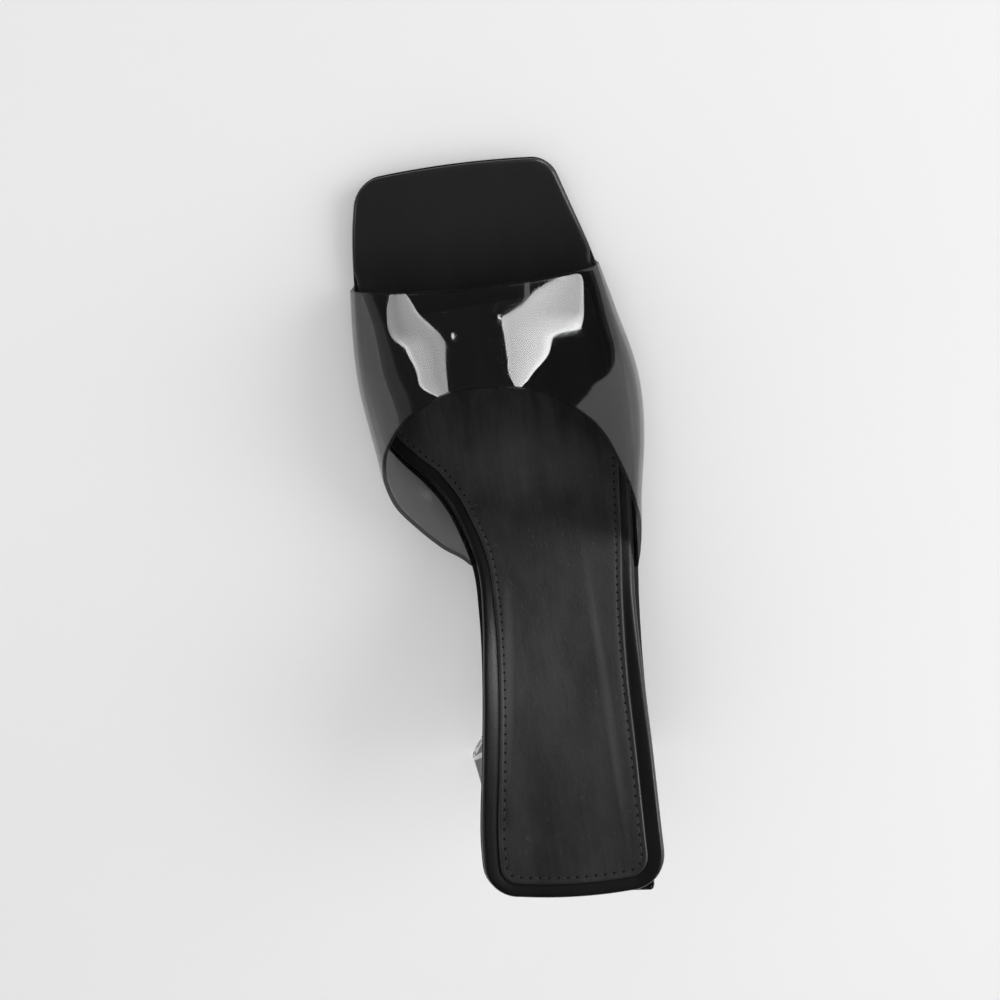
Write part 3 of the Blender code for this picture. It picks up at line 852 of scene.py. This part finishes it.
# each card is given by the patch of the band that mirrors it: rows of (along, start, end) in shares of
# the band, how far it stands off, its brightest glow, its tones from start to end, and where they
# change towards the front
plain = ((0.0, 1.0), (1.0, 1.0))
cards = {
    "innerGlint": {
        "reach": 40.0, "peak": 18.0, "change": (0.55, 0.7),
        "tones": (
            (0.0, 0.95), (0.07, 0.9), (0.13, 0.58), (0.45, 0.53), (0.72, 0.42), (0.9, 0.47), (1.0, 0.45),
        ),
        "frontTones": (
            (0.0, 0.42), (0.18, 0.36), (0.32, 0.31), (0.6, 0.41), (0.9, 0.46), (0.97, 0.7), (1.0, 0.72),
        ),
        "rows": (
            (1.0, 0.363, 0.404), (0.983, 0.362, 0.408), (0.867, 0.354, 0.428), (0.825, 0.355, 0.433),
            (0.717, 0.362, 0.453), (0.65, 0.375, 0.465), (0.583, 0.394, 0.475), (0.542, 0.404, 0.479),
            (0.5, 0.408, 0.483), (0.458, 0.412, 0.483), (0.325, 0.425, 0.479), (0.183, 0.429, 0.477),
            (0.033, 0.454, 0.475), (0.0, 0.46, 0.475),
        ),
    },
    "outerGlint": {
        "reach": 40.0, "peak": 24.0, "change": (0.68, 0.78),
        "tones": ((0.0, 0.64), (0.1, 0.52), (0.5, 0.64), (0.8, 0.72), (0.92, 0.98), (1.0, 1.0)),
        "frontTones": ((0.0, 0.62), (0.3, 0.55), (0.6, 0.46), (0.9, 0.41), (0.96, 0.6), (1.0, 0.64)),
        "rows": (
            (1.0, 0.705, 0.73), (0.992, 0.696, 0.735), (0.975, 0.679, 0.747), (0.95, 0.65, 0.749),
            (0.908, 0.629, 0.741), (0.842, 0.61, 0.729), (0.725, 0.573, 0.708), (0.692, 0.562, 0.699),
            (0.675, 0.561, 0.696), (0.633, 0.56, 0.662), (0.575, 0.558, 0.633), (0.525, 0.557, 0.625),
            (0.425, 0.554, 0.613), (0.292, 0.55, 0.592), (0.192, 0.546, 0.576), (0.083, 0.545, 0.562),
            (0.025, 0.546, 0.554), (0.0, 0.546, 0.551),
        ),
    },
    "outerShade": {
        "reach": 46.0, "peak": 0.0, "tones": plain,
        "rows": (
            (1.0, 0.7, 0.8), (0.892, 0.7, 0.796), (0.767, 0.69, 0.783), (0.633, 0.64, 0.775),
            (0.542, 0.61, 0.758), (0.467, 0.6, 0.733), (0.325, 0.58, 0.683), (0.225, 0.565, 0.662),
            (0.1, 0.55, 0.637), (0.0, 0.545, 0.62),
        ),
    },
    "outerBoard": {
        "reach": 52.0, "peak": 1.6, "tones": ((0.0, 1.0), (1.0, 0.75)),
        "rows": (
            (0.6, 0.765, 0.785), (0.542, 0.75, 0.79), (0.467, 0.725, 0.795), (0.325, 0.675, 0.795),
            (0.225, 0.655, 0.79), (0.1, 0.63, 0.785), (0.0, 0.615, 0.78),
        ),
    },
    "innerBoard": {
        "reach": 46.0, "peak": 1.6, "tones": ((0.0, 0.6), (1.0, 0.9)),
        "rows": (
            (1.0, 0.23, 0.256), (0.975, 0.235, 0.263), (0.842, 0.25, 0.3), (0.658, 0.265, 0.325),
            (0.433, 0.27, 0.342), (0.225, 0.275, 0.362), (0.042, 0.28, 0.371), (0.0, 0.28, 0.372),
        ),
    },
    "innerDim": {
        "reach": 50.0, "peak": 0.5, "tones": plain,
        "rows": (
            (1.0, 0.25, 0.3), (0.975, 0.255, 0.304), (0.883, 0.28, 0.325), (0.617, 0.32, 0.362),
            (0.358, 0.34, 0.383), (0.117, 0.36, 0.404), (0.0, 0.365, 0.405),
        ),
    },
    "innerSpark": {
        "reach": 40.0, "peak": 26.0, "tones": plain,
        "rows": ((0.568, 0.497, 0.498), (0.54, 0.4957, 0.4993), (0.512, 0.497, 0.498)),
    },
    "outerSpark": {
        "reach": 38.0, "peak": 28.0, "tones": plain,
        "rows": ((0.705, 0.5585, 0.5605), (0.69, 0.557, 0.562), (0.675, 0.5585, 0.5605)),
    },
    "outerTick": {
        "reach": 44.0, "peak": 2.4, "tones": plain,
        "rows": ((0.992, 0.62, 0.629), (0.91, 0.613, 0.622), (0.83, 0.606, 0.615)),
    },
}


def toneRamp(tree, value, tones):
    return rampNode(tree, value, [(place, grey, 1.0) for place, grey in tones])


def glowMaterial(name, card):
    material = bpy.data.materials.new(name)
    material.use_nodes = True
    tree = material.node_tree
    tree.nodes.remove(tree.nodes["Principled BSDF"])
    spot = addNode(tree, "ShaderNodeTexCoord").outputs["UV"]
    split = addNode(tree, "ShaderNodeSeparateXYZ", Vector=spot)
    tone = toneRamp(tree, split.outputs["X"], card["tones"])
    if "frontTones" in card:
        front = toneRamp(tree, split.outputs["X"], card["frontTones"])
        tone = mixNode(tree, rangeNode(tree, split.outputs["Y"], *card["change"], 0.0, 1.0), tone, front)
    lamp = addNode(tree, "ShaderNodeEmission", Color=tone, Strength=card["peak"])
    tree.links.new(lamp.outputs["Emission"], tree.nodes["Material Output"].inputs["Surface"])
    material.cycles.emission_sampling = "NONE"
    return material


def makeCard(name, card, receivers):
    columns, rows = 10, 40
    eye = Vector(studio["eye"])
    turned = card["rows"][::-1]
    places, starts, ends = zip(*turned)
    work = bmesh.new()
    work.loops.layers.uv.new("UVMap")
    bmesh.ops.create_grid(work, x_segments=columns, y_segments=rows, size=1.0, calc_uvs=True)
    for vert in work.verts:
        along = places[0] + (places[-1] - places[0]) * (vert.co.y + 1) / 2
        start, end = smoothCurve(places, starts, along), smoothCurve(places, ends, along)
        across = start + (end - start) * (vert.co.x + 1) / 2
        spot, normal = bandPoint(across, along), bandNormal(across, along)
        sight = (spot - eye).normalized()
        vert.co = toWorld(spot + sight.reflect(normal) * card["reach"])
    piece = finishMesh(work, name, [glowMaterial(name + "Glow", card)], 180)
    piece.visible_camera = False
    piece.visible_diffuse = False
    piece.visible_transmission = False
    piece.visible_shadow = False
    piece.light_linking.receiver_collection = receivers
    print("card done:", name)


def makeFloor():
    material, tree, shader = newMaterial("paleFloor", IOR=1.3)
    cloud = noiseNode(tree, placeNode(tree), 3.0, 3.0)
    grey = studio["floorGrey"]
    colour = rampNode(tree, cloud, ((0.3, grey - 0.01, 1.0), (0.7, grey + 0.01, 1.0)))
    tree.links.new(colour, shader.inputs["Base Color"])
    shader.inputs["Roughness"].default_value = 0.8
    shader.inputs["Specular IOR Level"].default_value = 0.2
    work = bmesh.new()
    bmesh.ops.create_grid(work, x_segments=2, y_segments=2, size=studio["floorHalf"])
    bmesh.ops.translate(work, verts=work.verts, vec=(0, 0, -studio["floorDrop"] * mm))
    finishMesh(work, "floor", [material])


def makeLight(name, light, receivers):
    lamp = bpy.data.lights.new(name, "AREA")
    lamp.shape = "DISK"
    lamp.size = light["size"]
    lamp.energy = light["power"]
    holder = bpy.data.objects.new(name, lamp)
    bpy.context.scene.collection.objects.link(holder)
    holder.location = light["spot"]
    holder.rotation_euler = Vector(light["spot"]).to_track_quat("Z", "Y").to_euler()  # shines at the origin
    holder.visible_diffuse = light["matt"]
    holder.visible_glossy = light["gloss"]
    holder.light_linking.receiver_collection = receivers


def linkGroup(name, piece, state):
    group = bpy.data.collections.new(name)
    group.objects.link(piece)
    group.collection_objects[0].light_linking.link_state = state
    return group


def makeStudio(bandPiece):
    makeFloor()
    onlyBand = linkGroup("onlyBand", bandPiece, "INCLUDE")
    allButBand = linkGroup("allButBand", bandPiece, "EXCLUDE")
    for name, light in studio["lights"].items():
        makeLight(name, light, allButBand)
    for name, card in cards.items():
        makeCard(name, card, onlyBand)
    world = bpy.data.worlds.new("studioWorld")
    bpy.context.scene.world = world
    world.use_nodes = True
    tree = world.node_tree
    ray = addNode(tree, "ShaderNodeLightPath").outputs["Is Glossy Ray"]
    tree.nodes["Background"].inputs["Color"].default_value = (1, 1, 1, 1)
    world.cycles.sampling_method = "NONE"
    room = rangeNode(tree, ray, 0.0, 1.0, studio["sky"], studio["glossSky"])
    tree.links.new(room, tree.nodes["Background"].inputs["Strength"])
    bpy.context.scene.view_settings.view_transform = "Standard"
    print("studio done")


def makeCamera():
    lens = bpy.data.cameras.new("camera")
    lens.lens = studio["lens"]
    lens.sensor_width = 36.0
    holder = bpy.data.objects.new("camera", lens)
    bpy.context.scene.collection.objects.link(holder)
    right, up = Vector(studio["right"]).normalized(), Vector(studio["up"]).normalized()
    back = right.cross(up)
    turned = Matrix((right, up, back)).transposed().to_4x4()
    holder.matrix_world = Matrix.Translation(toWorld(studio["eye"])) @ turned
    bpy.context.scene.camera = holder


makeOutsole()
makeFootbed()
makeSock()
bandPiece = makeBand()
makeHeel()
makeStudio(bandPiece)
makeCamera()
